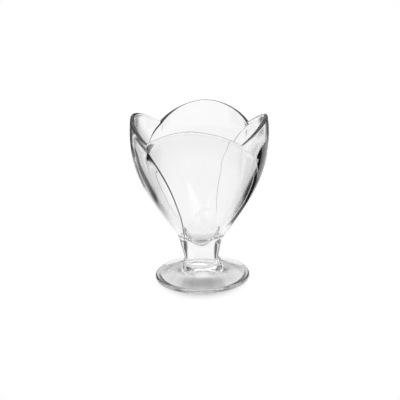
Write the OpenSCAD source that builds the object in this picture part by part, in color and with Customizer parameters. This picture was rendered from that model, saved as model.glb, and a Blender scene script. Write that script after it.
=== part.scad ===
// Tulip sundae glass: one pressed bowl of four lapped petals, a short square stem and a round foot.
// Millimetres, +Z up. The origin is the centre of the foot, on the surface that the glass stands on.
// Petals face -Y, +X, +Y and -X; angles here run from -Y towards +X.

/* [Overall] */
// Height from the table to the petal tips
height = 131; // [105:1:165]
// Width across the bowl at its widest level
bowl_w = 105; // [84:1:130]
// Diameter of the foot
foot_d = 74; // [60:1:96]

/* [Bowl] */
// Drop from a petal tip to the notch beside it
petal_drop = 14; // [6:0.5:22]
// Curve of a petal's edge: 1 is a straight slope, 2 a round arch
petal_arch = 1.75; // [1.2:0.05:3]
// Widest level, measured down from the petal tips
widest_below = 14.5; // [8:0.5:30]
// How far the lip leans in above the widest level
lip_in = 1; // [0:0.1:3]
// How far the rim is drawn in at the notches
notch_in = 2; // [0:0.1:4]
// Outward reach of the curve that leaves the stem
flare_out = 22; // [2:0.1:36]
// Upward reach of the curve that leaves the stem
flare_up = 32.6; // [8:0.1:50]
// Downward reach of the curve below the widest level
side_reach = 35.5; // [20:0.1:60]
// Softening where the square stem runs up into the round cup
meet = 1.2; // [0.5:0.1:4]
// How far the square stem goes on widening inside the cup
shaft_rise = 7; // [2:0.5:14]

/* [Petal laps] */
// Turn of a petal's free edge past its notch, in degrees
lap_turn = 26; // [0:1:40]
// Level of the greatest turn, as a part of the way up from base to notch
lap_level = 0.4; // [0.2:0.05:0.7]
// Step where one petal lies over the next
lap_step = 0.7; // [0.3:0.1:2]
// Width of the step's slope, in degrees
lap_edge = 0.8; // [0.5:0.1:4]

/* [Walls] */
// Thickness of the rounded rim
rim_t = 3.2; // [2:0.1:5]
// Wall thickness at the widest level, square to the side
wall_t = 3.7; // [2.5:0.1:6]
// Wall thickness of the lower half, square to the side
low_t = 4.9; // [3:0.1:7]
// Glass between the inside's lowest point and the stem
floor_t = 2.6; // [2:0.1:14]
// Height of the inside's rounded bottom
cup_h = 8; // [3:0.5:18]

/* [Stem] */
// Height of the stem with its collar
stem_h = 16.4; // [8:0.2:40]
// Width across the flats where it meets the bowl
stem_top_w = 30.4; // [20:0.2:40]
// Width across the flats where it leaves the collar
stem_w = 25.4; // [14:0.2:32]
// Cut at each corner, along the diagonal
corner_cut = 3.3; // [0.5:0.1:5]
// Diameter of the round collar on the foot
collar_d = 30.4; // [24:0.2:42]
// Height of the collar
collar_h = 4.6; // [2:0.2:8]

/* [Foot] */
// Height of the foot at the stem
foot_h = 12.6; // [7:0.2:24]
// Thickness of the foot's rounded edge
edge_t = 3.6; // [2:0.1:6]
// Flat margin round the collar
shelf = 0.6; // [0.2:0.1:4]
// How far the foot's slope sags below a straight line
slope_sag = 0.6; // [0:0.1:2]
// Width of the ring that the foot stands on
ring_w = 4; // [2:0.5:12]
// Glass between the top of the hollow underneath and the stem
sole_t = 5.6; // [3:0.1:6.5]

/* [Hidden] */

$fn = 96;

petals = 4;
pitch = 360 / petals;

// mesh counts: columns across a petal, levels up the outside, round the rim, down the inside
petal_cols = 17;
out_rows = 26;
rim_rows = 5;
in_rows = 14;
cup_rows = 6;
curve_steps = 60;
arc_steps = 8;

bowl_z = foot_h + stem_h;
widest_z = height - widest_below;
cup_z = bowl_z + floor_t;
widest_r = bowl_w / 2;
rim_r = rim_t / 2;
edge_r = edge_t / 2;
hollow = foot_h - sole_t;
// radius of the round cup where it leaves the stem
root_r = stem_top_w / 2 - meet;
// growth of the stem's width with height, and its width at the bottom, inside the collar
stem_lean = (stem_top_w - stem_w) / (stem_h - collar_h);
root_w = stem_w - stem_lean * collar_h;
// crowding of the levels towards the base
row_crowding = 1.4;
// crowding of the columns towards a petal's edges, up to 1 / (2 * PI)
edge_crowding = 0.1;
// how closely the cut corners keep to flats and an arc
corner_power = 24;
// fall of the lap's turn towards the notch
turn_power = 2.7;
// growth of the notch's dip across a petal, and its fade down from the rim
dip_power = 3.5;
dip_fade = 9;
// parts of the way up over which the step grows from the base, and fades to the notch
step_grow = 0.25;
step_fade = 0.15;
// fullness of the collar's rounded side: 2 is an ellipse
collar_power = 2.6;

function at(turn, r, z) = [r * sin(turn), -r * cos(turn), z];
function ease(t) = t <= 0 ? 0 : t >= 1 ? 1 : t * t * (3 - 2 * t);
function bezier(p, t) =
    p[0] * pow(1 - t, 3) + p[1] * 3 * pow(1 - t, 2) * t + p[2] * 3 * (1 - t) * t * t + p[3] * t * t * t;
function bezier_run(p, t) =
    (p[1] - p[0]) * pow(1 - t, 2) + (p[2] - p[1]) * 2 * (1 - t) * t + (p[3] - p[2]) * t * t;

// distance to the wall of the square section: flats at half of w, corners trimmed round
function corner_r(w) = w / 2 * sqrt(2) - corner_cut;
function square_r(turn, w) =
    let (off = turn - pitch * round(turn / pitch),
         flat_r = w / 2 / cos(off))
    pow(pow(flat_r, -corner_power) + pow(corner_r(w), -corner_power), -1 / corner_power);

// the bowl's outer curve at the middle of a petal: radius, and lean outwards, against height
side_ends = [
    [root_r, bowl_z],
    [root_r + flare_out, bowl_z + flare_up],
    [widest_r, widest_z - side_reach],
    [widest_r, widest_z]];
side_curve = [for (i = [0 : curve_steps])
    let (p = bezier(side_ends, i / curve_steps))
    [p[1], p[0]]];
side_lean = [for (i = [0 : curve_steps])
    let (run = bezier_run(side_ends, i / curve_steps))
    [side_curve[i][0], run[0] / run[1]]];

function side_r(z) = z <= widest_z ? lookup(z, side_curve)
    : widest_r - lip_in * pow((z - widest_z) / widest_below, 2);

// the round cup or the square shaft that runs up into it, whichever lies further out
function round_r(turn, z) =
    let (side = side_r(z),
         rise = min(z - bowl_z, shaft_rise),
         shaft = square_r(turn, stem_top_w + stem_lean * rise),
         near = max(0, 1 - abs(side - shaft) / meet))
    max(side, shaft) + near * near * meet / 4;

function rim_z(off) = height - petal_drop * pow(min(1, abs(off) / (pitch / 2)), petal_arch);

// turn and height of the laps, up from the base (0) to the notch (1)
function turn_of(v) = lap_turn * (v > lap_level
    ? 1 - pow((v - lap_level) / (1 - lap_level), turn_power)
    : 1 - pow((lap_level - v) / lap_level, 2));
function step_of(v) = lap_step * ease(v / step_grow) * ease((1 - v) / step_fade);

// columns: angles across a petal, closer together towards its two edges
petal_offs = [for (j = [0 : petal_cols - 1])
    let (t = j / (petal_cols - 1))
    (t - sin(360 * t) * edge_crowding - 0.5) * (pitch - lap_edge)];
columns = [for (k = [0 : petals - 1]) for (off = petal_offs) [k * pitch, off]];

function dip_of(off) = notch_in * pow(abs(off) / (pitch / 2), dip_power);

function outer_point(c, v) =
    let (z = bowl_z + (rim_z(c[1]) - rim_r - bowl_z) * v,
         turn = c[0] + c[1] + turn_of(v),
         lift = step_of(v) / 2 * pow(c[1] / (pitch / 2), 3))
    at(turn, round_r(turn, z) + lift - dip_of(c[1]) * pow(v, dip_fade), z);

// thickness along the level: the wall is measured square to the side, which leans out on its way up
function wall_at(z) =
    let (down = (widest_z - z) / (widest_z - bowl_z),
         side_t = wall_t + (low_t - wall_t) * ease(2 * down),
         t = side_t + (rim_t - side_t) * ease((z - widest_z + petal_drop) / petal_drop))
    t * sqrt(1 + pow(lookup(z, side_lean), 2));
function inner_r(z) = side_r(z) - wall_at(z);

function rim_point(c, a) =
    let (z = rim_z(c[1]) - rim_r,
         outer = round_r(c[1], z) - dip_of(c[1]),
         inner = inner_r(z) - dip_of(c[1]))
    at(c[0] + c[1], (outer + inner) / 2 + (outer - inner) / 2 * cos(a), z + rim_r * sin(a));

function inner_point(c, v) =
    let (low = cup_z + cup_h,
         z = low + (rim_z(c[1]) - rim_r - low) * v)
    at(c[0] + c[1], inner_r(z) - dip_of(c[1]) * pow(v, dip_fade), z);

function cup_point(c, a) =
    let (z = cup_z + cup_h * (1 - cos(a)))
    at(c[0] + c[1], inner_r(z) * sin(a), z);

bowl_rings = concat(
    [for (i = [0 : out_rows]) [for (c = columns) outer_point(c, pow(i / out_rows, row_crowding))]],
    [for (i = [1 : rim_rows]) [for (c = columns) rim_point(c, 180 * i / (rim_rows + 1))]],
    [for (i = [0 : in_rows]) [for (c = columns) inner_point(c, 1 - i / in_rows)]],
    [for (i = [1 : cup_rows - 1]) [for (c = columns) cup_point(c, 90 * (1 - i / cup_rows))]]);

// the stem's shaft widens upwards from its root inside the collar
flat_outline = [
    [-root_w / 2, 0],
    [root_w / 2, 0],
    [stem_top_w / 2, stem_h],
    [-stem_top_w / 2, stem_h]];
corner_outline = [[0, 0], [corner_r(root_w), 0], [corner_r(stem_top_w), stem_h], [0, stem_h]];
collar_outline = concat([[0, 0]], [for (i = [0 : arc_steps])
    let (up = sin(90 * i / arc_steps))
    [collar_d / 2 * pow(1 - pow(up, collar_power), 1 / collar_power), collar_h * up]]);

// half outline of the foot: hollow, standing ring, rounded edge, slope, shelf
shelf_r = collar_d / 2 + shelf;
ring_r = foot_d / 2 - edge_r;
hollow_r = ring_r - ring_w;
foot_outline = concat(
    [for (i = [0 : arc_steps])
        let (t = i / arc_steps)
        [hollow_r * t, hollow * (1 - t * t)]],
    [for (i = [0 : arc_steps])
        let (a = -90 + 180 * i / arc_steps)
        [ring_r + edge_r * cos(a), edge_r + edge_r * sin(a)]],
    [for (i = [1 : arc_steps])
        let (t = i / arc_steps)
        [ring_r + (shelf_r - ring_r) * t,
         edge_t + (foot_h - edge_t) * t - slope_sag * 4 * t * (1 - t)]],
    [[0, foot_h]]);

// closed skin over rings of equal count, first ring lowest on the outside
module skin(rings) {
    n = len(rings[0]);
    last = len(rings) - 1;
    points = [for (ring = rings) for (p = ring) p];
    sides = [for (i = [0 : last - 1]) for (j = [0 : n - 1])
        let (a = i * n + j,
             b = i * n + (j + 1) % n)
        each [[a, a + n, b], [b, a + n, b + n]]];
    floor_face = [for (j = [0 : n - 1]) j];
    end_face = [for (j = [0 : n - 1]) last * n + n - 1 - j];
    polyhedron(points, concat(sides, [floor_face, end_face]));
}

module bowl() {
    color([0.93, 0.95, 0.95, 0.45]) skin(bowl_rings);
}

module stem_flats() {
    rotate([90, 0, 0]) linear_extrude(foot_d, center = true) polygon(flat_outline);
}

module shaft() {
    intersection() {
        stem_flats();
        rotate([0, 0, 90]) stem_flats();
        rotate_extrude() polygon(corner_outline);
    }
}

module stem() {
    color([0.90, 0.92, 0.92, 0.45]) translate([0, 0, foot_h]) {
        shaft();
        rotate_extrude() polygon(collar_outline);
    }
}

module foot() {
    color([0.92, 0.94, 0.94, 0.45]) rotate_extrude() polygon(foot_outline);
}

bowl();
stem();
foot();
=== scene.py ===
import bisect
import math

import bmesh
import bpy
from mathutils import Matrix, Vector


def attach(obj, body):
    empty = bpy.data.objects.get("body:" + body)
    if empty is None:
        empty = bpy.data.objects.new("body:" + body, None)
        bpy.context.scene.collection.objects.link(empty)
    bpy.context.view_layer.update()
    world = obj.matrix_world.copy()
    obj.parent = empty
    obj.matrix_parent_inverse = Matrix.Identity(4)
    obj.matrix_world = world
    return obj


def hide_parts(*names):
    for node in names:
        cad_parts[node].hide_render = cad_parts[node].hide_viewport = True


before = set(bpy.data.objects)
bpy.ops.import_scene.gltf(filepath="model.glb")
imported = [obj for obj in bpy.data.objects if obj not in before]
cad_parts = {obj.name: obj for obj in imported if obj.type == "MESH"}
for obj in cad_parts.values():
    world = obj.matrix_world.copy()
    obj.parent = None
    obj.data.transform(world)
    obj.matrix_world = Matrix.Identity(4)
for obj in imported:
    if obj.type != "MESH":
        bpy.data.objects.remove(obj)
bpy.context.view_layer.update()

# sizes in metres, +Z up; petals face -Y, +X, +Y and -X, angles run from -Y towards +X


def aim(turn, radius, z):
    return Vector((radius * math.sin(turn), -radius * math.cos(turn), z))


def turnOf(co):
    return math.atan2(co.x, -co.y)


def ease(t):
    t = min(1, max(0, t))
    return t * t * (3 - 2 * t)


def bezier(a, b, c, d, t):
    s = 1 - t
    return a * s ** 3 + b * (3 * s * s * t) + c * (3 * s * t * t) + d * t ** 3


def level(z, rows):
    # straight-line look-up in rows of (z, r) with rising z
    i = min(len(rows) - 1, max(1, bisect.bisect_left(rows, (z, 0))))
    (z0, r0), (z1, r1) = rows[i - 1], rows[i]
    return r0 + (r1 - r0) * (z - z0) / (z1 - z0)


class Wire:
    # a socket that takes sums; add() makes any other node
    def __init__(self, tree, socket=None):
        self.tree = tree
        self.socket = socket

    def add(self, kind, settings=None, sockets=None, out=0):
        node = self.tree.nodes.new("ShaderNode" + kind)
        for key, value in (settings or {}).items():
            setattr(node, key, value)
        for key, value in (sockets or {}).items():
            if isinstance(value, Wire):
                self.tree.links.new(value.socket, node.inputs[key])
            else:
                node.inputs[key].default_value = value
        return Wire(self.tree, node.outputs[out]) if node.outputs else node

    def maths(self, operation, a, b=0.0):
        return self.add("Math", {"operation": operation}, {0: a, 1: b})

    def __add__(self, other):
        return self.maths("ADD", self, other)

    def __radd__(self, other):
        return self.maths("ADD", other, self)

    def __sub__(self, other):
        return self.maths("SUBTRACT", self, other)

    def __rsub__(self, other):
        return self.maths("SUBTRACT", other, self)

    def __mul__(self, other):
        return self.maths("MULTIPLY", self, other)

    def __rmul__(self, other):
        return self.maths("MULTIPLY", other, self)

    def grey(self):
        return self.add("CombineColor", None, {0: self, 1: self, 2: self})

    def spread(self, low, high, first=0.0, last=1.0):
        # eased map of low..high onto first..last
        return self.add("MapRange", {"interpolation_type": "SMOOTHSTEP"},
                        {"Value": self, "From Min": low, "From Max": high,
                         "To Min": first, "To Max": last})


def newTree(owner):
    owner.use_nodes = True
    owner.node_tree.nodes.clear()
    return Wire(owner.node_tree)


# tone: the glass's tint, darkest and palest; ripple and depth: waves that the mould leaves in the skin
glassLook = {
    "ior": 1.52, "drift": 26.0, "driftSpan": (0.35, 0.65), "grain": 800.0, "grainSpan": (0.4, 0.7),
    "tint": (0.997, 1.0, 0.999),
    "bowl": {"tone": (0.948, 0.964), "ripple": 75.0, "depth": 0.00002, "rough": (0.0, 0.014)},
    "stem": {"tone": (0.925, 0.945), "ripple": 110.0, "depth": 0.00002, "rough": (0.0, 0.014)},
    "foot": {"tone": (0.94, 0.962), "ripple": 190.0, "depth": 0.00004, "rough": (0.0, 0.02)},
    "sole": {"tone": (0.94, 0.962), "ripple": 150.0, "depth": 0.00006, "rough": (0.12, 0.25)},
}


def glassFinish(name):
    look = glassLook[name]
    mat = bpy.data.materials.new(name + "Glass")
    wire = newTree(mat)
    place = wire.add("TexCoord", out=3)
    drift = wire.add("TexNoise", None, {"Vector": place, "Scale": glassLook["drift"], "Detail": 2.0})
    tone = drift.spread(*glassLook["driftSpan"], *look["tone"])
    tint = wire.add("CombineColor", None, {i: tone * part for i, part in enumerate(glassLook["tint"])})
    grain = wire.add("TexNoise", None, {"Vector": place, "Scale": glassLook["grain"], "Detail": 1.0})
    ripple = wire.add("TexNoise", None, {"Vector": place, "Scale": look["ripple"], "Detail": 1.0})
    skin = wire.add("Bump", None, {"Strength": 1.0, "Distance": look["depth"], "Height": ripple})
    glass = wire.add("BsdfPrincipled", None, {
        "Base Color": tint, "Normal": skin,
        "Roughness": grain.spread(*glassLook["grainSpan"], *look["rough"]),
        "IOR": glassLook["ior"], "Transmission Weight": 1.0})
    wire.add("OutputMaterial", None, {"Surface": glass})
    return mat


def jointFinish():
    mat = bpy.data.materials.new("fusedJoint")
    wire = newTree(mat)
    clear = wire.add("BsdfTransparent", None, {"Color": (1, 1, 1, 1)})
    wire.add("OutputMaterial", None, {"Surface": clear})
    return mat


joint = jointFinish()


def finishPiece(name, mesh, mats, node):
    data = bpy.data.meshes.new(name)
    mesh.to_mesh(data)
    mesh.free()
    piece = bpy.data.objects.new(name, data)
    bpy.context.scene.collection.objects.link(piece)
    for mat in mats:
        data.materials.append(mat)
    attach(piece, "root")
    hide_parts(node)
    print(name, len(data.polygons), "faces")
    return piece


def closeEnds(mesh):
    # flat faces over the open ends, normals out, all smooth
    edges = [e for e in mesh.edges if e.is_boundary]
    capped = bmesh.ops.holes_fill(mesh, edges=edges, sides=0)["faces"]
    bmesh.ops.recalc_face_normals(mesh, faces=mesh.faces)
    for face in mesh.faces:
        face.smooth = True
    return capped


def markJoint(face):
    # a flat face that is fused to the next piece
    face.smooth = False
    face.material_index = 1
    for edge in face.edges:
        edge.smooth = False


def spinRound(mesh, profile, steps):
    # profile: (r, z, zone, share) per vertex, turned once about the axis
    zone = mesh.verts.layers.float.new("zone")
    share = mesh.verts.layers.float.new("share")
    line = []
    for r, z, part, along in profile:
        vert = mesh.verts.new((0, -r, z))
        vert[zone], vert[share] = part, along
        line.append(vert)
    edges = [mesh.edges.new(pair) for pair in zip(line, line[1:])]
    bmesh.ops.spin(mesh, geom=line + edges, axis=(0, 0, 1), cent=(0, 0, 0),
                   angle=math.tau, steps=steps, use_merge=True)
    return zone, share


stem = {
    "foot": 0.0126, "high": 0.0164, "topWidth": 0.0304, "width": 0.0254, "fillet": 0.008,
    "collarWidth": 0.0304, "collarHigh": 0.0046, "collarRound": 2.6,
    "steps": 288, "collarRows": 20, "shaftRows": 24,
}
petals = 4
pitch = math.tau / petals
shaftLean = (stem["topWidth"] - stem["width"]) / (stem["high"] - stem["collarHigh"])


def squareRadius(turn, width, fillet):
    # out to the wall of a square section with rounded corners
    off = abs(turn - pitch * round(turn / pitch))
    flat = width / 2 - fillet
    if width / 2 * math.tan(off) <= flat:
        return width / 2 / math.cos(off)
    away, centre = pitch / 2 - off, flat * math.sqrt(2)
    return centre * math.cos(away) + math.sqrt(fillet ** 2 - (centre * math.sin(away)) ** 2)


def stemRadius(turn, z):
    # square shaft that widens upwards, standing in a round bead
    width = stem["width"] + shaftLean * (z - stem["collarHigh"])
    shaft = squareRadius(turn, width, stem["fillet"])
    if z >= stem["collarHigh"]:
        return shaft
    full = stem["collarRound"]
    bead = stem["collarWidth"] / 2 * (1 - (z / stem["collarHigh"]) ** full) ** (1 / full)
    return max(shaft, bead)


def makeStem():
    mesh = bmesh.new()
    # rows crowd towards the top of the bead
    levels = [stem["collarHigh"] * math.sin(math.pi / 2 * i / stem["collarRows"])
              for i in range(stem["collarRows"])]
    shaft = stem["high"] - stem["collarHigh"]
    levels += [stem["collarHigh"] + shaft * i / stem["shaftRows"] for i in range(stem["shaftRows"] + 1)]
    spinRound(mesh, [(stem["width"] / 2, stem["foot"] + z, 0, 0) for z in levels], stem["steps"])
    for vert in mesh.verts:
        turn, z = turnOf(vert.co), vert.co.z
        vert.co = aim(turn, stemRadius(turn, z - stem["foot"]), z)
    for face in closeEnds(mesh):
        markJoint(face)
    return finishPiece("stemGlass", mesh, [glassFinish("stem"), joint], "stem")


makeStem()


bowl = {
    "height": 0.131, "width": 0.105, "meet": 0.0012, "shaftRise": 0.007,
    "petalDrop": 0.014, "petalArch": 1.75, "notchIn": 0.002,
    "widestBelow": 0.0145, "lipIn": 0.001,
    "flareOut": 0.022, "flareUp": 0.0326, "sideReach": 0.0355,
    "lapTurn": math.radians(26), "lapLevel": 0.4, "lapStep": 0.0007, "lapEdge": math.radians(0.8),
    "turnPower": 2.7, "stepGrow": 0.25, "stepFade": 0.15, "dipPower": 3.5, "dipFade": 9, "edgeCrowd": 0.1,
    "rim": 0.0032, "wall": 0.0037, "lowWall": 0.0049, "floor": 0.0026, "cup": 0.008, "crowd": 1.4,
    "faceCols": 44, "lapCols": 8, "outRows": 84, "rimRows": 11, "inRows": 56, "cupRows": 18,
    "curveSteps": 480,
}
baseZ = stem["foot"] + stem["high"]
widestZ = bowl["height"] - bowl["widestBelow"]
widestR = bowl["width"] / 2
rimR = bowl["rim"] / 2
cupZ = baseZ + bowl["floor"]
rootR = stem["topWidth"] / 2 - bowl["meet"]

# the outside at the middle of a petal: radius, and how far it leans out, against height
sideCurve, sideLean = [], []
ends = [Vector((rootR, baseZ)),
        Vector((rootR + bowl["flareOut"], baseZ + bowl["flareUp"])),
        Vector((widestR, widestZ - bowl["sideReach"])),
        Vector((widestR, widestZ))]
legs = [b - a for a, b in zip(ends, ends[1:])]
for i in range(bowl["curveSteps"] + 1):
    t = i / bowl["curveSteps"]
    r, z = bezier(*ends, t)
    run, rise = legs[0] * (1 - t) ** 2 + legs[1] * (2 * t * (1 - t)) + legs[2] * t * t
    sideCurve.append((z, r))
    sideLean.append((z, run / rise))


def sideRadius(z):
    if z <= widestZ:
        return level(z, sideCurve)
    return widestR - bowl["lipIn"] * ((z - widestZ) / bowl["widestBelow"]) ** 2


def roundRadius(turn, z):
    # the round cup and the square shaft that runs up into it, softened where they meet
    side = sideRadius(z)
    rise = min(z - baseZ, bowl["shaftRise"])
    shaft = squareRadius(turn, stem["topWidth"] + shaftLean * rise, stem["fillet"])
    near = max(0, 1 - abs(side - shaft) / bowl["meet"])
    return max(side, shaft) + near * near * bowl["meet"] / 4


def rimLevel(off):
    return bowl["height"] - bowl["petalDrop"] * min(1, abs(off) / (pitch / 2)) ** bowl["petalArch"]


def lapTurnAt(v):
    low = bowl["lapLevel"]
    if v > low:
        return bowl["lapTurn"] * (1 - ((v - low) / (1 - low)) ** bowl["turnPower"])
    return bowl["lapTurn"] * (1 - ((low - v) / low) ** 2)


def lapStepAt(v):
    return bowl["lapStep"] * ease(v / bowl["stepGrow"]) * ease((1 - v) / bowl["stepFade"])


def dipAt(off):
    return bowl["notchIn"] * min(1, abs(off) / (pitch / 2)) ** bowl["dipPower"]


def wallAt(z):
    # level thickness: the wall is measured square to the side, and is thicker in the lower half
    drop = bowl["petalDrop"]
    down = (widestZ - z) / (widestZ - baseZ)
    wall = bowl["wall"] + (bowl["lowWall"] - bowl["wall"]) * ease(2 * down)
    wall += (bowl["rim"] - wall) * ease((z - widestZ + drop) / drop)
    return wall * math.hypot(1, level(min(z, widestZ), sideLean))


def innerRadius(z):
    return sideRadius(z) - wallAt(z)


def columnAt(turn):
    # which petal a column is on, its angle from the middle, and how the lap lifts it
    cols = bowl["faceCols"] + bowl["lapCols"]
    step = round(turn / pitch * cols + bowl["faceCols"] / 2) % (cols * petals)
    petal, k = divmod(step, cols)
    half = (pitch - bowl["lapEdge"]) / 2
    if k <= bowl["faceCols"]:
        t = k / bowl["faceCols"]
        off = (t - math.sin(math.tau * t) * bowl["edgeCrowd"] - 0.5) * 2 * half
        lift = (off / (pitch / 2)) ** 3
    else:
        t = (k - bowl["faceCols"]) / bowl["lapCols"]
        off = half + bowl["lapEdge"] * t
        lift = (half / (pitch / 2)) ** 3 * (1 - 2 * ease(t))
    return petal * pitch, off, lift


def pressPetals(vert, zone, share):
    around, off, lift = columnAt(turnOf(vert.co))
    near = off if off <= pitch / 2 else off - pitch
    turn, top, dip = around + off, rimLevel(near), dipAt(near)
    part, along = round(vert[zone]), vert[share]
    if part == 0:  # outside, base to rim
        z = baseZ + (top - rimR - baseZ) * along
        turn += lapTurnAt(along)
        r = roundRadius(turn, z) + lapStepAt(along) / 2 * lift - dip * along ** bowl["dipFade"]
    elif part == 1:  # over the rim
        z = top - rimR
        outer, inner = roundRadius(turn, z) - dip, innerRadius(z) - dip
        r = (outer + inner) / 2 + (outer - inner) / 2 * math.cos(along)
        z += rimR * math.sin(along)
    elif part == 2:  # down the inside
        low = cupZ + bowl["cup"]
        z = low + (top - rimR - low) * along
        r = innerRadius(z) - dip * along ** bowl["dipFade"]
    else:  # rounded bottom
        z = cupZ + bowl["cup"] * (1 - math.cos(along))
        r = innerRadius(z) * math.sin(along)
    vert.co = aim(turn, r, z)


def makeBowl():
    mesh = bmesh.new()
    rows = [(0, (i / bowl["outRows"]) ** bowl["crowd"]) for i in range(bowl["outRows"] + 1)]
    rows += [(1, math.pi * i / (bowl["rimRows"] + 1)) for i in range(1, bowl["rimRows"] + 1)]
    rows += [(2, 1 - i / bowl["inRows"]) for i in range(bowl["inRows"] + 1)]
    rows += [(3, math.pi / 2 * (1 - i / bowl["cupRows"])) for i in range(1, bowl["cupRows"])]
    # a plain stair of rows is turned first, then each vertex is pressed into place
    profile = [(rootR, rimR * i, *row) for i, row in enumerate(rows)]
    steps = (bowl["faceCols"] + bowl["lapCols"]) * petals
    zone, share = spinRound(mesh, profile, steps)
    for vert in mesh.verts:
        pressPetals(vert, zone, share)
    for face in closeEnds(mesh):
        if face.calc_center_median().z < cupZ - bowl["floor"] / 2:
            markJoint(face)
    return finishPiece("bowlGlass", mesh, [glassFinish("bowl"), joint], "bowl")


makeBowl()


foot = {
    "width": 0.074, "edge": 0.0036, "shelf": 0.0006, "sag": 0.0006,
    "ring": 0.004, "hollow": 0.007, "soleSlope": -0.8, "steps": 256,
    "hollowRows": 30, "ringRows": 6, "edgeRows": 16, "slopeRows": 40,
}


def makeFoot():
    mesh = bmesh.new()
    edgeR = foot["edge"] / 2
    ringR = foot["width"] / 2 - edgeR
    hollowR = ringR - foot["ring"]
    shelfR = stem["collarWidth"] / 2 + foot["shelf"]
    profile = []
    for i in range(1, foot["hollowRows"] + 1):
        t = i / foot["hollowRows"]
        profile.append((hollowR * t, foot["hollow"] * (1 - t * t)))
    profile += [(hollowR + foot["ring"] * i / foot["ringRows"], 0) for i in range(1, foot["ringRows"])]
    for i in range(foot["edgeRows"] + 1):
        a = math.pi * (i / foot["edgeRows"] - 0.5)
        profile.append((ringR + edgeR * math.cos(a), edgeR + edgeR * math.sin(a)))
    for i in range(1, foot["slopeRows"] + 1):
        t = i / foot["slopeRows"]
        slope = foot["edge"] + (stem["foot"] - foot["edge"]) * t
        profile.append((ringR + (shelfR - ringR) * t, slope - foot["sag"] * 4 * t * (1 - t)))
    spinRound(mesh, [(r, z, 0, 0) for r, z in profile], foot["steps"])
    for face in closeEnds(mesh):
        if face.normal.z > 0:
            markJoint(face)
    for face in mesh.faces:
        if face.normal.z < foot["soleSlope"]:
            face.material_index = 2
    return finishPiece("footGlass", mesh, [glassFinish("foot"), joint, glassFinish("sole")],
                       "foot")


makeFoot()


# floor, light and camera

setting = {
    "floorSize": 8.0, "floorZ": -0.0003,
    # the floor's shade is painted: a grey spot centred under the front of the foot, darkest in its middle
    # and fading out by its far reach
    "paintedShadeAt": (0.0014, -0.015, 0), "shade": (0.004, 0.036, 0.38, 1.0), "glow": (0.045, 0.072, 0.68, 1.0),
    "skyline": (0.07, 0.095), "skylineWide": (0.985, 0.995),
    "skyLow": 0.16, "skyMid": 0.55, "skyHigh": 0.92, "skyFrom": 0.21, "skyTurn": 0.31, "skyTo": 0.50,
    "topSize": 2.2, "topHigh": 1.3, "topPower": 15.0,
}


def stageObject(name, mesh, mat):
    data = bpy.data.meshes.new(name)
    mesh.to_mesh(data)
    mesh.free()
    data.materials.append(mat)
    prop = bpy.data.objects.new(name, data)
    bpy.context.scene.collection.objects.link(prop)
    return prop


def makeFloor():
    mesh = bmesh.new()
    bmesh.ops.create_grid(mesh, x_segments=8, y_segments=8, size=setting["floorSize"] / 2)
    bmesh.ops.translate(mesh, verts=mesh.verts, vec=(0, 0, setting["floorZ"]))
    mat = bpy.data.materials.new("floorPaper")
    wire = newTree(mat)
    place = wire.add("TexCoord", out=3)
    # painted shade: a soft grey spot painted into the floor's colour under the foot and towards its
    # front; it darkens both the lit paper, which keeps its real shadow too, and the paper's white glow
    away = wire.add("VectorMath", {"operation": "DISTANCE"}, {0: place, 1: setting["paintedShadeAt"]}, out=1)
    tone = away.spread(*setting["shade"]).grey()
    path = wire.add("LightPath")
    seen = wire.maths("MAXIMUM", path, Wire(wire.tree, path.socket.node.outputs["Is Glossy Ray"]))
    seen = wire.maths("MAXIMUM", seen, Wire(wire.tree, path.socket.node.outputs["Is Transmission Ray"]))
    paper = wire.add("BsdfDiffuse", None, {"Color": tone})
    white = wire.add("Emission", None, {"Color": tone, "Strength": 1.0})
    mixed = wire.add("MixShader", None, {0: seen * away.spread(*setting["glow"]), 1: paper, 2: white})
    wire.add("OutputMaterial", None, {"Surface": mixed})
    return stageObject("floor", mesh, mat)


makeFloor()


# dark cards that lie on the floor at the two sides and draw the glass's edges
# spans: first and last angle in degrees, near and far radius
cards = {
    "spans": {
        "right": (84, 152, 0.06, 0.19),
        "wideRight": (78, 130, 0.12, 0.46),
        "farRight": (146, 176, 0.36, 1.0),
        "left": (220, 298, 0.05, 0.30),
        "wideLeft": (228, 306, 0.16, 0.60),
        "farLeft": (198, 232, 0.26, 1.0),
    },
    "lift": 0.0002, "grey": 0.38, "black": 0.06, "greyTo": 0.094, "blackFrom": 0.106,
    "fade": 0.18, "rows": 20, "steps": 24,
}


def makeCard(name, lift, mat):
    first, last, near, far = cards["spans"][name]
    mesh = bmesh.new()
    radii = [near + (far - near) * i / cards["rows"] for i in range(cards["rows"] + 1)]
    line = [mesh.verts.new(aim(math.radians(first), r, lift)) for r in radii]
    edges = [mesh.edges.new(pair) for pair in zip(line, line[1:])]
    bmesh.ops.spin(mesh, geom=line + edges, axis=(0, 0, 1), cent=(0, 0, 0),
                   angle=math.radians(last - first), steps=cards["steps"])
    # the card fades out towards all its edges
    dark = mesh.verts.layers.float.new("dark")
    for vert in mesh.verts:
        across = (math.degrees(turnOf(vert.co)) % 360 - first) / (last - first)
        along = (math.hypot(vert.co.x, vert.co.y) - near) / (far - near)
        vert[dark] = math.prod(ease(min(t, 1 - t) / cards["fade"]) for t in (across, along))
    card = stageObject(name + "Card", mesh, mat)
    card.visible_camera = card.visible_diffuse = card.visible_shadow = False


def cardFinish():
    mat = bpy.data.materials.new("darkCard")
    wire = newTree(mat)
    place = wire.add("TexCoord", out=3)
    far = wire.add("VectorMath", {"operation": "LENGTH"}, {0: place}, out=1)
    shade = far.spread(cards["greyTo"], cards["blackFrom"], cards["grey"], cards["black"])
    felt = wire.add("BsdfDiffuse", None, {"Color": shade.grey()})
    clear = wire.add("BsdfTransparent", None, {"Color": (1, 1, 1, 1)})
    dark = wire.add("Attribute", {"attribute_name": "dark"}, out=2)
    mixed = wire.add("MixShader", None, {0: dark, 1: clear, 2: felt})
    wire.add("OutputMaterial", None, {"Surface": mixed})
    return mat


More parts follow.
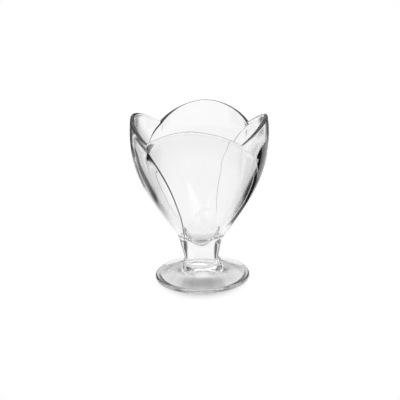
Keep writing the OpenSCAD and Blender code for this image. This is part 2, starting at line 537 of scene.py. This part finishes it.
felt = cardFinish()
for i, side in enumerate(cards["spans"]):
    makeCard(side, cards["lift"] * (i + 1), felt)
print("floor and", len(cards["spans"]), "cards")


def makeWorld():
    world = bpy.data.worlds.new("studio")
    bpy.context.scene.world = world
    wire = newTree(world)
    path = wire.add("LightPath")
    way = wire.add("TexCoord")
    up = wire.add("SeparateXYZ", None, {0: way}, out=2)
    side, back = (Wire(wire.tree, up.socket.node.outputs[i]) for i in (0, 1))
    room = up.spread(setting["skyFrom"], setting["skyTurn"], setting["skyLow"], setting["skyMid"])
    rest = setting["skyHigh"] - setting["skyMid"]
    room = room + up.spread(setting["skyTurn"], setting["skyTo"], 0.0, rest)
    # white low down straight behind the front view and the side view
    wide = setting["skylineWide"]
    pale = wire.maths("MAXIMUM", back.spread(*wide), (0 - side).spread(*wide))
    room = wire.maths("MAXIMUM", room, pale * up.spread(*setting["skyline"], 1.0, 0.0))
    soft = wire.add("Background", None, {"Color": (1, 1, 1, 1), "Strength": room})
    white = wire.add("Background", None, {"Color": (1, 1, 1, 1), "Strength": 1.0})
    mixed = wire.add("MixShader", None, {0: path, 1: soft, 2: white})
    wire.add("OutputWorld", None, {"Surface": mixed})


makeWorld()


def addLamp(name, place, aimAt, size, power):
    data = bpy.data.lights.new(name, "AREA")
    data.shape = "SQUARE"
    data.size = size
    data.energy = power
    lamp = bpy.data.objects.new(name, data)
    lamp.location = place
    lamp.rotation_euler = (Vector(aimAt) - Vector(place)).to_track_quat("-Z", "Y").to_euler()
    bpy.context.scene.collection.objects.link(lamp)
    return lamp


addLamp("topSoftbox", (0, 0, setting["topHigh"]), (0, 0, 0), setting["topSize"], setting["topPower"])
print("world and lamp")


shot = {
    "turn": 6.59, "rise": 18.59, "roll": -1.34, "away": 0.801, "lens": 93.06, "sensor": 36,
    "aimAt": (0, 0, 0.05423), "right": 0.00083, "up": -0.00861,
}


def makeCamera():
    turn, rise, roll = (math.radians(shot[k]) for k in ("turn", "rise", "roll"))
    ahead = Vector((0, math.cos(rise), -math.sin(rise)))
    right = Vector((1, 0, 0))
    up = right.cross(ahead)
    across = right * math.cos(roll) + up * math.sin(roll)
    over = up * math.cos(roll) - right * math.sin(roll)
    place = Vector(shot["aimAt"]) - across * shot["right"] - over * shot["up"] - ahead * shot["away"]
    pose = Matrix((across, over, -ahead)).transposed().to_4x4()
    pose.translation = place
    data = bpy.data.cameras.new("camera")
    data.lens, data.sensor_width = shot["lens"], shot["sensor"]
    camera = bpy.data.objects.new("camera", data)
    camera.matrix_world = Matrix.Rotation(turn, 4, "Z") @ pose
    bpy.context.scene.collection.objects.link(camera)
    bpy.context.scene.camera = camera


makeCamera()
print("camera")
bpy.context.scene.view_settings.view_transform = "Standard"
